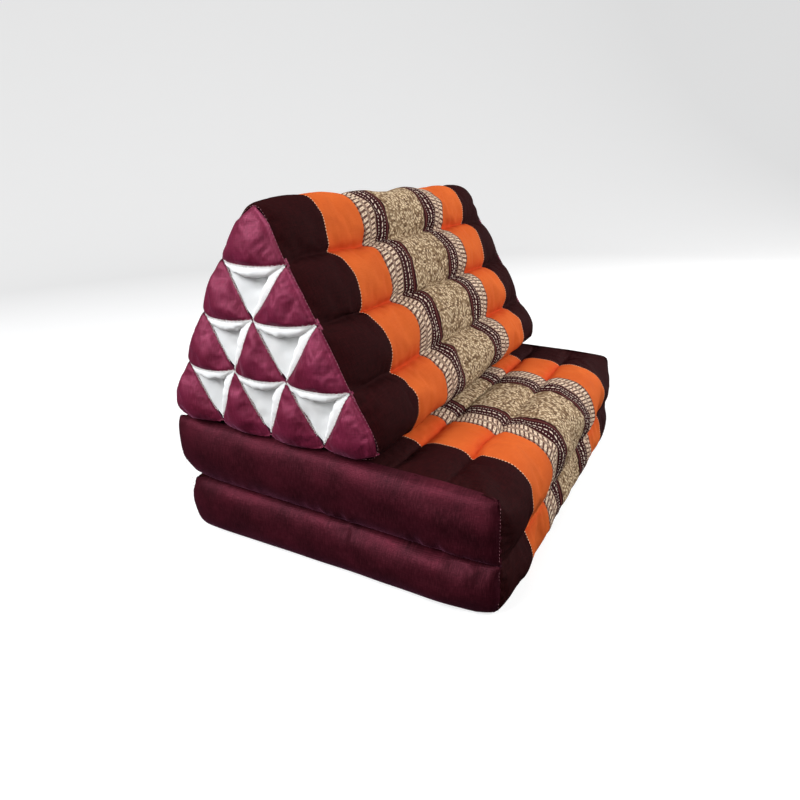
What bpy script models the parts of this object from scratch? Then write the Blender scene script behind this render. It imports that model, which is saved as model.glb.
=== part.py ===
"""Folded floor cushion: a triangular backrest on two stacked mats, at its real size.

Metres, +Z up. X runs along the rolls, -Y is the front that a sitter faces from, and the origin
is on the floor under the middle. The backrest is a filled prism whose cover is sewn down in
channels; its two ends are a patchwork of 10 puffed triangles and 6 sunken white ones. The mats
are filled slabs of 7 rolls, with a boxed side panel at each end, folded one under the other.
"""

import math

import bmesh
import bpy
from mathutils import Vector

# Gap left between pieces that touch
GAP = 0.0003

# Mats: seven rolls deep, and the planes that the stack is pressed flat on
MAT_WIDTH = 0.500
ROLL_PITCH = 0.060
ROLLS = 7
MAT_FRONT = -ROLLS * ROLL_PITCH / 2
MAT_BACK = ROLLS * ROLL_PITCH / 2
STACK_SLOPE = 0.035
FOLD_HEIGHT = 0.0662
SEAT_THICKNESS = 0.0775
SEAM_RISE = 0.0760
CREASE_RISE = 0.0670
ROLL_BULGE = 0.0108
FLAT_INSET = 0.0070
FLAT_BULGE = 0.0110
SEAT_WAIST = 0.0015
SEAT_TUCK = 0.0040
FOLD_TOE = 0.0020
FOLD_SETBACK = 0.0060
FOLD_SHOULDER = 0.0040
FOLD_BULGE_SHARE = 0.75

# Backrest: corners of its end seam as (y, z), four cells to a side
REST_WIDTH = 0.508
APEX = Vector((0.0490, 0.4065))
FRONT_FOOT = Vector((-0.0925, 0.1545))
BACK_FOOT = Vector((0.2045, 0.1600))
CELLS = 4
REST_CREASE = 0.0030
REST_BULGE = 0.0170
BASE_BULGE = 0.0210

# A roll's bulge, from 0 at its creases to 1: (1 - |u| ** flatness) ** steepness
ROLL_FLATNESS = 2.2
ROLL_STEEPNESS = 0.625

# How a section changes from its end seam to its full rolls: the backrest's seam bulges a little
# between the patchwork's corners, by its side, and is straight along the front
END_BULGE = 0.0016
BASE_END_BULGE = 0.0070
BACK_END_BULGE = 0.0050
FRONT_END_BULGE = 0.0010
END_ROUND = 0.28
FULL_ROUND = 0.60
TOE_ROUND = 0.40
FADE = 0.048
STATIONS = (0.0, 0.004, 0.012, 0.025, 0.048, 0.110, 0.180)

# Side panels of the mats, and the triangles of the backrest's ends
PANEL_EDGE = 0.0015
PANEL_CROWN = 0.0155
PANEL_CORNER = 0.0070
PANEL_CORNER_POWER = 12
PANEL_FLATNESS = (8.0, 2.4)
PANEL_STEEPNESS = (0.5, 0.6)
PANEL_CELLS = (12, 6)
PAD_EDGE = 0.0012
PAD_CROWN = 0.0160
PAD_STEEPNESS = 0.42
PAD_INSET = 0.0010
PAD_CUTS = 4
PAD_CORNER = 0.0120
PAD_CORNER_START = 0.60
PAD_SHIFT_REACH = 0.40
POCKET_DEPTH = 0.0200
POCKET_INSET = 0.0022
LINER_CUTS = 6
LINER_FLOOR = 0.0135
LINER_FLOOR_POWER = 0.7
LINER_EDGE = 0.0010
LINER_ROLL = 0.0070
LINER_ROLL_SHARE = 0.24

# Cloth hinges, as strips lying in the grooves where two pieces are sewn together
HINGE_LENGTH = 0.480
HINGE_HEIGHT = 0.0066
HINGE_THICKNESS = 0.0015
FRONT_HINGE_REACH = 0.0050
BACK_HINGE_Y = 0.2010

# Edges sharper than this are shaded sharp, in degrees
SHARP_ANGLE = 50.0

# Colour and roughness
COLOURS = {
    "patterned_cotton": ((0.60, 0.17, 0.05), 0.85),
    "maroon_cotton": ((0.16, 0.02, 0.06), 0.60),
    "white_cotton": ((0.74, 0.75, 0.74), 0.85),
}


def fold_plane(y):
    """Height of the plane between the two mats."""
    return FOLD_HEIGHT + STACK_SLOPE * y


def rest_plane(y):
    """Height of the plane between the seat mat and the backrest."""
    return fold_plane(y) + SEAT_THICKNESS


def roll_profile(t):
    """Share of its full bulge that a roll has at t, from 0 at one crease to 1 at the next."""
    return max(0.0, 1.0 - abs(2.0 * t - 1.0) ** ROLL_FLATNESS) ** ROLL_STEEPNESS


def normal_of(a, b):
    """Unit normal on the right of the way from a to b, which is outwards on every path here."""
    way = (b - a).normalized()
    return Vector((way.y, -way.x))


def corner_path(start, corner, end, roundness, steps):
    """Points and normals from start to end round a corner; roundness 1 is a quarter ellipse."""
    centre = start + end - corner
    first = normal_of(start, corner)
    last = normal_of(corner, end)
    found = []
    for i in range(steps + 1):
        angle = math.pi / 2 * i / steps
        c = max(0.0, math.cos(angle))
        s = max(0.0, math.sin(angle))
        point = centre + (corner - end) * c**roundness + (corner - start) * s**roundness
        found.append((point, (first * c * c + last * s * s).normalized()))
    return found


def evenly(path, steps):
    """The path again as steps + 1 evenly spaced points, each with its normal and share of the way."""
    along = [0.0]
    for (a, _), (b, _) in zip(path, path[1:]):
        along.append(along[-1] + (b - a).length)
    found = []
    k = 0
    for i in range(steps + 1):
        target = along[-1] * i / steps
        while k < len(path) - 2 and along[k + 1] < target:
            k += 1
        span = along[k + 1] - along[k]
        share = (target - along[k]) / span if span else 0.0
        point = path[k][0].lerp(path[k + 1][0], share)
        normal = path[k][1].lerp(path[k + 1][1], share).normalized()
        found.append((point, normal, i / steps))
    return found


def roll(points, roundness, bulges, steps):
    """Outline of one roll from crease to crease: 2 points for a flat one, 3 or 5 round corners.

    bulges are its bulge near its start and near its end.
    """
    fine = 24
    if len(points) == 2:
        normal = normal_of(*points)
        path = [(points[0], normal), (points[1], normal)]
    else:
        path = []
        for i in range(0, len(points) - 2, 2):
            path += corner_path(*points[i : i + 3], roundness, fine)[bool(i) :]
    found = []
    for point, normal, t in evenly(path, steps)[:-1]:
        bulge = bulges[0] + (bulges[1] - bulges[0]) * t
        found.append(point + normal * bulge * roll_profile(t))
    return found


def rolls(start, end, count, bulge, steps):
    """Outline of several equal rolls on a straight run."""
    found = []
    for i in range(count):
        a = start.lerp(end, i / count)
        b = start.lerp(end, (i + 1) / count)
        found += roll([a, b], 1.0, (bulge, bulge), steps)
    return found


def backrest_section(full):
    """Closed outline of the backrest as (y, z), at its end seam or where its rolls are full."""
    inset = REST_CREASE if full else 0.0
    roundness = FULL_ROUND if full else END_ROUND
    corners = [FRONT_FOOT, BACK_FOOT, APEX]
    ends = [BASE_END_BULGE, BACK_END_BULGE, FRONT_END_BULGE]
    outline = []
    for i, corner in enumerate(corners):
        before = corners[i - 1]
        after = corners[(i + 1) % 3]
        bulge = (BASE_BULGE if i == 0 else REST_BULGE) if full else ends[i]
        crease_in = corner.lerp(before, 1 / CELLS) - normal_of(before, corner) * inset
        shift = normal_of(corner, after) * inset
        crease_out = corner.lerp(after, 1 / CELLS) - shift
        last = after.lerp(corner, 1 / CELLS) - shift
        around = (REST_BULGE, REST_BULGE) if full else (ends[i - 1], ends[i])
        outline += roll([crease_in, corner, crease_out], roundness, around, 10)
        outline += rolls(crease_out, last, CELLS - 2, bulge, 6)
    if full:
        floor = GAP / 2
        outline = [Vector((p.x, max(p.y, rest_plane(p.x) + floor))) for p in outline]
    return outline


def seat_section(full):
    """Closed outline of the seat mat, which carries the backrest and is folded at its front."""
    rise = CREASE_RISE if full else SEAM_RISE
    bulge = ROLL_BULGE if full else END_BULGE
    flat = (FLAT_INSET, FLAT_BULGE) if full else (GAP / 2, 0.0)
    roundness = FULL_ROUND if full else END_ROUND
    first = MAT_FRONT + ROLL_PITCH
    last = MAT_BACK - ROLL_PITCH

    def top(y):
        return Vector((y, fold_plane(y) + rise))

    def under(y):
        return Vector((y, fold_plane(y) + flat[0]))

    pinch = Vector((MAT_FRONT, fold_plane(MAT_FRONT) + GAP / 2))
    waist = Vector((MAT_BACK - SEAT_WAIST, fold_plane(MAT_BACK) + rise / 2))
    tuck = Vector((MAT_BACK - SEAT_TUCK, fold_plane(MAT_BACK) + SEAT_TUCK))
    both = (bulge, bulge)
    outline = roll([pinch, under(first)], 1.0, (flat[1] / 2, flat[1] / 2), 4)
    outline += rolls(under(first), under(last), ROLLS - 2, flat[1], 4)
    outline += roll([under(last), tuck, waist, top(MAT_BACK), top(last)], roundness, both, 13)
    outline += rolls(top(last), top(first), ROLLS - 2, bulge, 6)
    outline += roll([top(first), top(MAT_FRONT), pinch], roundness, both, 10)
    low, high = GAP / 2, -GAP / 2
    return [
        Vector((p.x, min(max(p.y, fold_plane(p.x) + low), rest_plane(p.x) + high)))
        for p in outline
    ]


def fold_section(full):
    """Closed outline of the lower mat, flat on the floor and flat under the seat mat."""
    bulge = ROLL_BULGE * FOLD_BULGE_SHARE if full else END_BULGE
    flat = (FLAT_INSET, FLAT_BULGE) if full else (0.0, 0.0)
    roundness = FULL_ROUND if full else END_ROUND
    toe_roundness = TOE_ROUND if full else END_ROUND
    first = MAT_FRONT + ROLL_PITCH
    last = MAT_BACK - ROLL_PITCH - FOLD_SETBACK
    front = MAT_FRONT - FOLD_TOE
    back = MAT_BACK - FOLD_SETBACK

    def top(y):
        return Vector((y, fold_plane(y) - GAP / 2 - flat[0]))

    def under(y):
        return Vector((y, flat[0]))

    pinch = Vector((MAT_FRONT, fold_plane(MAT_FRONT) - GAP / 2))
    toe = Vector((front, 0.0))
    shoulder = Vector((back - FOLD_SHOULDER, fold_plane(back) - FOLD_SHOULDER))
    waist = Vector((back, fold_plane(back) / 2))
    heel = Vector((back, 0.0))
    both = (bulge, bulge)
    outline = roll([pinch, toe, under(first)], toe_roundness, both, 10)
    outline += rolls(under(first), under(last), ROLLS - 2, flat[1], 4)
    outline += roll([under(last), heel, waist, shoulder, top(last)], roundness, both, 13)
    outline += rolls(top(last), top(first), ROLLS - 2, flat[1], 4)
    outline += roll([top(first), pinch], 1.0, (flat[1] / 2, flat[1] / 2), 4)
    return [
        Vector((p.x, min(max(p.y, 0.0), fold_plane(p.x) - GAP / 2))) for p in outline
    ]


def fullness(depth):
    """How full the rolls are at this depth from the end seam: cloth rises steeply off a seam."""
    share = min(1.0, depth / FADE)
    return math.sqrt(1.0 - (1.0 - share) ** 2)


def finish_object(bm, name, material):
    """The mesh as a named object in the cushion's collection, smooth but for its sharp edges."""
    bm.normal_update()
    bmesh.ops.recalc_face_normals(bm, faces=bm.faces)
    mesh = bpy.data.meshes.new(name)
    bm.to_mesh(mesh)
    bm.free()
    mesh.shade_smooth()
    mesh.set_sharp_from_angle(angle=math.radians(SHARP_ANGLE))
    mesh.materials.append(material)
    obj = bpy.data.objects.new(name, mesh)
    collection.objects.link(obj)
    return obj


def lofted_body(name, section, half_width, material):
    """A filled body: straight seams at both ends, full rolls between them."""
    seam = section(False)
    full = section(True)
    left = [-half_width + s for s in STATIONS]
    stations = left + [0.0] + [-x for x in reversed(left)]
    bm = bmesh.new()
    rings = []
    for x in stations:
        share = fullness(half_width - abs(x))
        points = [a.lerp(b, share) for a, b in zip(seam, full)]
        rings.append([bm.verts.new((x, p.x, p.y)) for p in points])
    count = len(seam)
    for ring, following in zip(rings, rings[1:]):
        for i in range(count):
            j = (i + 1) % count
            bm.faces.new((ring[i], ring[j], following[j], following[i]))
    bm.faces.new(rings[0])
    bm.faces.new(rings[-1])
    return finish_object(bm, name, material)


def lattice(row, column):
    """Corner of the patchwork's cells: row 0 is the apex, column 0 the back edge."""
    back = APEX.lerp(BACK_FOOT, row / CELLS)
    front = APEX.lerp(FRONT_FOOT, row / CELLS)
    return back.lerp(front, column / row if row else 0.0)


def upright_cells():
    """(row, column, corners) of the ten triangles that stand on their base."""
    for row in range(1, CELLS + 1):
        for column in range(row):
            top = lattice(row - 1, column)
            yield row, column + 1, [top, lattice(row, column), lattice(row, column + 1)]


def hanging_cells():
    """(row, column, corners) of the six white triangles that hang from theirs."""
    for row in range(2, CELLS + 1):
        for column in range(row - 1):
            left = lattice(row - 1, column)
            right = lattice(row - 1, column + 1)
            yield row, column + 1, [left, right, lattice(row, column + 1)]


def inset_corners(corners, distance):
    """The triangle drawn in by this distance from each of its sides."""
    sides = [(corners[1] - corners[2]).length, (corners[2] - corners[0]).length]
    sides.append((corners[0] - corners[1]).length)
    around = sum(sides)
    centre = sum((c * s for c, s in zip(corners, sides)), Vector((0.0, 0.0))) / around
    area = abs((corners[1] - corners[0]).cross(corners[2] - corners[0])) / 2
    share = distance / (2 * area / around)
    return [c.lerp(centre, share) for c in corners]


def triangle_block(name, corners, back, front_of, cuts, side, material, shift_of=None):
    """A solid on a triangle: a flat back at depth back, and a front that front_of(weights) shapes.

    shift_of(weights) moves its points in the triangle's plane.
    """
    bm = bmesh.new()
    bmesh.ops.create_cone(bm, cap_ends=True, segments=3, radius1=1.0, radius2=1.0, depth=2.0)
    tips = sorted((v.co.xy for v in bm.verts if v.co.z > 0), key=lambda c: math.atan2(c.y, c.x))
    tips = [t.copy() for t in tips]
    rim = [e for e in bm.edges if e.verts[0].co.z * e.verts[1].co.z > 0]
    bmesh.ops.subdivide_edges(bm, edges=rim, cuts=cuts, use_grid_fill=True)
    whole = (tips[1] - tips[0]).cross(tips[2] - tips[0])
    for v in bm.verts:
        p = v.co.xy
        weights = [
            (tips[(i + 1) % 3] - p).cross(tips[(i + 2) % 3] - p) / whole for i in range(3)
        ]
        weights = [max(0.0, w) for w in weights]
        place = sum((c * w for c, w in zip(corners, weights)), Vector((0.0, 0.0)))
        if shift_of:
            place += shift_of(weights)
        x = front_of(weights) if v.co.z > 0 else back
        v.co = Vector((side * x, place.x, place.y))
    return finish_object(bm, name, material)


def pad_front(weights):
    """Crown of a puffed triangle, from its three weights, whose product is 1/27 at its middle."""
    a, b, c = weights
    crown = min(1.0, 27.0 * a * b * c) ** PAD_STEEPNESS
    return REST_WIDTH / 2 + GAP + PAD_EDGE + PAD_CROWN * crown


def pad_shift(row, column, corners):
    """How a pad at the patchwork's rim bulges in its plane, as a function of weights.

    The weights are for its top, back and front corners. A side on the rim bulges outwards, and
    a corner between two such sides is rounded off.
    """
    rim = []
    if row == CELLS:
        rim.append((0, BASE_END_BULGE, normal_of(FRONT_FOOT, BACK_FOOT)))
    if column == row:
        rim.append((1, FRONT_END_BULGE, normal_of(APEX, FRONT_FOOT)))
    if column == 1:
        rim.append((2, BACK_END_BULGE, normal_of(BACK_FOOT, APEX)))
    faced = [side for side, _, _ in rim]
    blunt = 3 - sum(faced) if len(rim) == 2 else None
    middle = sum(corners, Vector((0.0, 0.0))) / 3

    def shift(weights):
        moved = Vector((0.0, 0.0))
        for side, bulge, outwards in rim:
            far = next(k for k in range(3) if k != side and k != blunt)
            t = 1.0 - weights[far] if blunt is None else (1.0 - weights[far]) / 2
            fade = max(0.0, 1.0 - weights[side] / PAD_SHIFT_REACH)
            moved += outwards * bulge * roll_profile(t) * fade
        if blunt is not None:
            near = max(0.0, weights[blunt] - PAD_CORNER_START) / (1 - PAD_CORNER_START)
            moved += (middle - corners[blunt]).normalized() * PAD_CORNER * near**2
        return moved

    return shift


def liner_front(weights):
    """Front of a white triangle: flush along its first side, a roll along the other two.

    The weights are for the back top, front top and bottom corners. The cloth is sewn flat along
    the side from the first to the last, and sinks from there towards the second.
    """
    back_top, front_top, bottom = weights
    roll_height = 0.0
    for across, along in ((bottom, back_top), (back_top, bottom)):
        share = min(1.0, across / LINER_ROLL_SHARE)
        crest = math.sqrt(max(0.0, math.sin(math.pi * along)))
        roll_height = max(roll_height, math.sqrt(1.0 - share * share) * crest)
    floor = LINER_EDGE + LINER_FLOOR * front_top**LINER_FLOOR_POWER
    return REST_WIDTH / 2 - floor + (floor + LINER_ROLL) * roll_height


def side_panel(name, bottom, top, front, back, side, material):
    """A boxed side panel: a flat back on the mat's end and a crowned face."""
    across, up = PANEL_CELLS
    base = MAT_WIDTH / 2 + GAP
    bm = bmesh.new()
    bmesh.ops.create_cube(bm, size=2.0)
    lengthwise = [e for e in bm.edges if e.verts[0].co.y * e.verts[1].co.y < 0]
    bmesh.ops.subdivide_edges(bm, edges=lengthwise, cuts=across - 1, use_grid_fill=True)
    upright = [e for e in bm.edges if e.verts[0].co.z * e.verts[1].co.z < 0]
    bmesh.ops.subdivide_edges(bm, edges=upright, cuts=up - 1, use_grid_fill=True)
    for v in bm.verts:
        u, w = v.co.y, v.co.z
        y = front + (back - front) * (u + 1) / 2
        z = bottom(y) + (top(y) - bottom(y)) * (w + 1) / 2
        blunt = PANEL_CORNER * abs(u * w) ** PANEL_CORNER_POWER
        y -= math.copysign(blunt, u)
        z -= math.copysign(blunt, w) if z > blunt else 0.0
        crown = PANEL_CROWN
        for way, flatness, steepness in zip((u, w), PANEL_FLATNESS, PANEL_STEEPNESS):
            crown *= max(0.0, 1.0 - abs(way) ** flatness) ** steepness
        x = base if v.co.x < 0 else base + PANEL_EDGE + crown
        v.co = Vector((side * x, y, z))
    return finish_object(bm, name, material)


def hinge_strip(name, y, z, material):
    """A strip of cloth lying in the groove where two pieces are sewn together."""
    bm = bmesh.new()
    bmesh.ops.create_cube(bm, size=1.0)
    bmesh.ops.scale(bm, vec=(HINGE_LENGTH, HINGE_THICKNESS, HINGE_HEIGHT), verts=bm.verts)
    bmesh.ops.translate(bm, vec=(0.0, y, z), verts=bm.verts)
    return finish_object(bm, name, material)


def cut_pockets(body, cutters):
    """Sinks a pocket in the backrest's ends for each white triangle."""
    for cutter in cutters:
        collection.objects.unlink(cutter)
        cutter_collection.objects.link(cutter)
        cutter.hide_render = True
        cutter.display_type = "WIRE"
    cut = body.modifiers.new("pockets", "BOOLEAN")
    cut.operand_type = "COLLECTION"
    cut.collection = cutter_collection
    cut.solver = "EXACT"


def cloth_material(name):
    """A Principled material with the cloth's colour and roughness."""
    colour, roughness = COLOURS[name]
    material = bpy.data.materials.new(name)
    material.use_nodes = True
    shader = material.node_tree.nodes["Principled BSDF"]
    shader.inputs["Base Color"].default_value = (*colour, 1.0)
    shader.inputs["Roughness"].default_value = roughness
    shader.inputs["Metallic"].default_value = 0.0
    return material


def new_collection(name):
    """An empty collection in the scene."""
    made = bpy.data.collections.new(name)
    bpy.context.scene.collection.children.link(made)
    return made


for old in list(bpy.data.objects):
    bpy.data.objects.remove(old)
collection = new_collection("floor_cushion")
cutter_collection = new_collection("cutters")
patterned = cloth_material("patterned_cotton")
maroon = cloth_material("maroon_cotton")
white = cloth_material("white_cotton")

# Filled bodies
backrest = lofted_body("backrest", backrest_section, REST_WIDTH / 2, patterned)
lofted_body("seat_mat", seat_section, MAT_WIDTH / 2, patterned)
lofted_body("fold_mat", fold_section, MAT_WIDTH / 2, patterned)

# Patchwork at the backrest's two ends
pocket_cutters = []
for side_name, side in (("left", -1), ("right", 1)):
    seam = REST_WIDTH / 2
    for row, column, corners in upright_cells():
        triangle_block(
            f"{side_name}_pad_r{row}_{column}",
            inset_corners(corners, PAD_INSET),
            seam + GAP,
            pad_front,
            PAD_CUTS,
            side,
            maroon,
            pad_shift(row, column, corners),
        )
    for row, column, corners in hanging_cells():
        triangle_block(
            f"{side_name}_liner_r{row}_{column}",
            inset_corners(corners, POCKET_INSET + GAP),
            seam - POCKET_DEPTH + GAP,
            liner_front,
            LINER_CUTS,
            side,
            white,
        )
        pocket_cutters.append(
            triangle_block(
                f"{side_name}_pocket_r{row}_{column}",
                inset_corners(corners, POCKET_INSET),
                seam - POCKET_DEPTH,
                lambda weights: REST_WIDTH / 2 + 2 * PAD_CROWN,
                0,
                side,
                white,
            )
        )
    side_panel(
        f"seat_mat_side_{side_name}",
        lambda y: fold_plane(y) + GAP,
        lambda y: fold_plane(y) + SEAM_RISE,
        MAT_FRONT,
        MAT_BACK,
        side,
        maroon,
    )
    side_panel(
        f"fold_mat_side_{side_name}",
        lambda y: 0.0,
        lambda y: fold_plane(y) - GAP,
        MAT_FRONT,
        MAT_BACK - FOLD_SETBACK,
        side,
        maroon,
    )
cut_pockets(backrest, pocket_cutters)

# Cloth hinges
hinge_strip("front_hinge", MAT_FRONT - FRONT_HINGE_REACH, fold_plane(MAT_FRONT), patterned)
hinge_strip("back_hinge", BACK_HINGE_Y, rest_plane(BACK_HINGE_Y), patterned)
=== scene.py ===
"""The floor cushion dressed: stuffed covers with woven bands, the patchwork ends, seams and studio."""

import math

import bmesh
import bpy
import numpy as np
from mathutils import Matrix, Vector
from mathutils.bvhtree import BVHTree


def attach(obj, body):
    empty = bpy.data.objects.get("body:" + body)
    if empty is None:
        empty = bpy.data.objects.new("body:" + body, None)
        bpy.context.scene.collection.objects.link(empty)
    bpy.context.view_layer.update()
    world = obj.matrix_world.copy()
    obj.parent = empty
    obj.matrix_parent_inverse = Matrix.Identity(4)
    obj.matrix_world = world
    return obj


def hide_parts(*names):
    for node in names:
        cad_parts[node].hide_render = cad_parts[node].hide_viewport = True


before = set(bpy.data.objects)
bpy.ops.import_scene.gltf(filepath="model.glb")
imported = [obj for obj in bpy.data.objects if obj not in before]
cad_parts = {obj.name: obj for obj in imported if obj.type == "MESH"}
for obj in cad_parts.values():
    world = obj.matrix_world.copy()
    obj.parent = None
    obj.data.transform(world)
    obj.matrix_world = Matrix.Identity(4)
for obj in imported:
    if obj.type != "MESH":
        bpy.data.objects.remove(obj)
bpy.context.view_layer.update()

# Sizes shared with the solids, in metres
MAT_WIDTH = 0.500
ROLL_PITCH = 0.060
ROLLS = 7
MAT_FRONT = -ROLLS * ROLL_PITCH / 2
MAT_BACK = -MAT_FRONT
STACK_SLOPE = 0.035
FOLD_HEIGHT = 0.0662
SEAT_THICKNESS = 0.0775
REST_WIDTH = 0.508
APEX = np.array([0.0490, 0.4065])
FRONT_FOOT = np.array([-0.0925, 0.1545])
BACK_FOOT = np.array([0.2045, 0.1600])
CELLS = 4
CELL_HEIGHT = 0.0630
SIDES = (("left", -1), ("right", 1))

# Rolls: how far they stand out, their lean to one crease, and how deep their creases lie
REST_BULGES = (0.0210, 0.0175, 0.0175)
REST_LIFTS = (0.0, -0.06, 0.06)
REST_CREASE = 0.0040
SEAT_BULGE = 0.0112
SEAT_CREASE_RISE = 0.0665
FOLD_BULGE = 0.0085

# Flat rolls where a mat is lain on, and how far the mats' ends draw in
FLAT_INSET = 0.0070
FLAT_BULGE = 0.0110
MAT_GAP = 0.0004
SEAT_WAIST = 0.0015
SEAT_TUCK = 0.0040
FOLD_TOE = 0.0020
FOLD_SETBACK = 0.0060
FOLD_HEEL = 0.0070
FOLD_SHOULDER = 0.0040

# The photo's camera: angles in degrees, place, and focal length in pixels
CAMERA_ANGLES = (-60.144, 20.550, -2.360)
CAMERA_PLACE = np.array([-0.7069, -0.3698, 0.4134])
FOCAL_PIXELS = 591.95
PICTURE_PIXELS = 800
SENSOR_WIDTH = 36

# Corners of the sewn patchwork by row and column, as uneven as by hand. The outer three are (y, z).
# The others are where the photo shows them, in pixels, and how far they stand out of the end.
OUTER_CORNERS = {(0, 0): (0.0466, 0.4020), (4, 0): (0.2035, 0.1600), (4, 4): (-0.0870, 0.1500)}
SEEN_CORNERS = {
    (1, 0): (222.3, 260.0, 0.000),
    (1, 1): (285.0, 265.5, 0.000),
    (2, 0): (204.5, 313.0, 0.001),
    (2, 1): (252.3, 320.0, 0.005),
    (2, 2): (317.0, 325.0, 0.000),
    (3, 0): (190.0, 362.0, 0.001),
    (3, 1): (235.0, 370.3, 0.005),
    (3, 2): (286.2, 381.9, 0.005),
    (3, 3): (350.0, 393.0, 0.000),
    (4, 1): (222.7, 418.7, 0.001),
    (4, 2): (269.6, 433.9, 0.002),
    (4, 3): (323.0, 445.3, 0.001),
}

# The patchwork's rim by side: base, back and front
RIM = (
    ((4, 4), (4, 3), (4, 2), (4, 1), (4, 0)),
    ((4, 0), (3, 0), (2, 0), (1, 0), (0, 0)),
    ((0, 0), (1, 1), (2, 2), (3, 3), (4, 4)),
)

# How far the end stands out in its middle and is drawn in at its apex
END_CROWN = 0.0060
APEX_DRAW = 0.0080

# The end seam's bulge by each side of the patchwork: base, back and front
END_BULGES = (0.0065, 0.0045, 0.0012)

# Puffed triangles: height, flank width, and the height share that a free side starts at
PAD_HEIGHT = 0.0165
PAD_FLANK = 0.0330
PAD_FREE_BACK = 0.22
PAD_FREE_BOTTOM = 0.48
PAD_DIP = 0.0024
SIDE_DIP = 0.0030

# White triangles: the floor's depth at its two ends, and the width of the two rolls
FLOOR_EDGE = 0.0008
FLOOR_SINK = 0.0100
TOP_ROLL = 0.0175
SIDE_ROLL = 0.0125
ROLL_CREST = 0.0024

# Side panels, and the height of the seat mat at its ends
PANEL_CROWN = 0.0175
SEAT_END_RISE = 0.0735
SEAT_BACK_RISE = 0.0035

# Where the woven bands start, in metres of cloth from the end, and half the cloth's width
ORANGE_START = 0.075
CHECK_START = 0.143
STRIPE_START = 0.173
MIDDLE_START = 0.2032
CLOTH_HALF = 0.25

# Running stitches
STITCH_PITCH = 0.0036
STITCH_LENGTH = 0.0019

# Cloth hinges: length, widths from one body to the other, and half the height of each groove
HINGE_LENGTH = 0.480
FRONT_HINGE_REACH = 0.0052
BACK_HINGE_REACH = 0.0065
BACK_HINGE_Y = 0.2010
HINGE_RAY_START = 0.30

scene = bpy.context.scene


def fold_plane(y):
    """Height of the plane between the two mats."""
    return FOLD_HEIGHT + STACK_SLOPE * y


def rest_plane(y):
    """Height of the plane between the seat mat and the backrest."""
    return fold_plane(y) + SEAT_THICKNESS


def camera_axes():
    """The camera's right, up and backward directions, turned by its tilt."""
    azimuth, elevation, tilt = (math.radians(angle) for angle in CAMERA_ANGLES)
    level, height = math.cos(elevation), math.sin(elevation)
    away = np.array([math.sin(azimuth) * level, -math.cos(azimuth) * level, height])
    right = np.array([math.cos(azimuth), math.sin(azimuth), 0.0])
    up = np.cross(away, right)
    turned_right = math.cos(tilt) * right + math.sin(tilt) * up
    turned_up = -math.sin(tilt) * right + math.cos(tilt) * up
    return turned_right, turned_up, away


def on_end(pixel_x, pixel_y, stands_out):
    """(y, z) of a point on the backrest's end, to 0.1 mm, from its pixel in the photo."""
    right, up, away = camera_axes()
    across, down = pixel_x - PICTURE_PIXELS / 2, pixel_y - PICTURE_PIXELS / 2
    ray = -away + (right * across - up * down) / FOCAL_PIXELS
    reach = (-REST_WIDTH / 2 - stands_out - CAMERA_PLACE[0]) / ray[0]
    return np.round((CAMERA_PLACE + ray * reach)[1:], 4)


NODES = {place: np.array(corner) for place, corner in OUTER_CORNERS.items()}
NODES |= {place: on_end(*seen) for place, seen in SEEN_CORNERS.items()}

# Smooth unevenness, the same on each run


def ripple(p, seed, wavelength, count=14):
    """Smooth noise from -1 to 1 or so at points p, of shape (..., n), from waves of about a length."""
    rng = np.random.default_rng(seed)
    p = np.asarray(p, float)
    lengths = np.broadcast_to(np.asarray(wavelength, float), (p.shape[-1],))
    total = np.zeros(p.shape[:-1])
    for _ in range(count):
        direction = rng.normal(size=p.shape[-1])
        direction /= np.linalg.norm(direction)
        wave = 2 * math.pi * direction * rng.uniform(0.6, 1.5) / lengths
        total += np.sin(p @ wave + rng.uniform(0, 2 * math.pi))
    return total / math.sqrt(count / 2) / 1.6


def smooth(x):
    """0 below 0, 1 above 1 and a soft step between."""
    x = np.clip(x, 0.0, 1.0)
    return x * x * (3 - 2 * x)


def unit_rows(rows):
    """Rows scaled to length 1."""
    return rows / np.linalg.norm(rows, axis=1)[:, None]


def lengths_along(path):
    """Distance from the start of a path at each of its points."""
    return np.concatenate([[0], np.cumsum(np.linalg.norm(np.diff(path, axis=0), axis=1))])


def interpolated(where, along, rows):
    """Rows given at places along a path, found at other places."""
    return np.stack([np.interp(where, along, column) for column in rows.T], axis=1)


def outline_frame(outline):
    """Tangents and outward normals of a closed outline at its points."""
    tangent = unit_rows(np.roll(outline, -1, axis=0) - np.roll(outline, 1, axis=0))
    return tangent, np.stack([tangent[:, 1], -tangent[:, 0]], axis=1)


def facing(normal, way):
    """A normal or its opposite, whichever points along way."""
    return normal if normal @ way > 0 else -normal


def nearest_on(outline, points):
    """The nearest points of a closed outline to each of these points."""
    way = np.roll(outline, -1, axis=0) - outline
    from_start = points[:, None, :] - outline[None]
    share = (from_start * way[None]).sum(axis=2) / np.maximum((way**2).sum(axis=1), 1e-12)
    found = outline[None] + way[None] * np.clip(share, 0, 1)[..., None]
    best = np.linalg.norm(found - points[:, None, :], axis=2).argmin(axis=1)
    return found[np.arange(len(points)), best]


def pulled(outline, feet, fades):
    """How points move when the sides they belong to are sewn to an outline.

    feet are their nearest points on each side, and fades how strongly each side pulls them.
    """
    moved = sum((nearest_on(outline, foot) - foot) * fade[:, None] for foot, fade in zip(feet, fades))
    return moved / np.maximum(sum(fades), 1)[:, None]


# Outlines of the filled bodies: a list of rolls, each a path of (y, z) points


def unit_normal(a, b):
    way = (b - a) / np.linalg.norm(b - a)
    return np.array([way[1], -way[0]])


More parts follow.
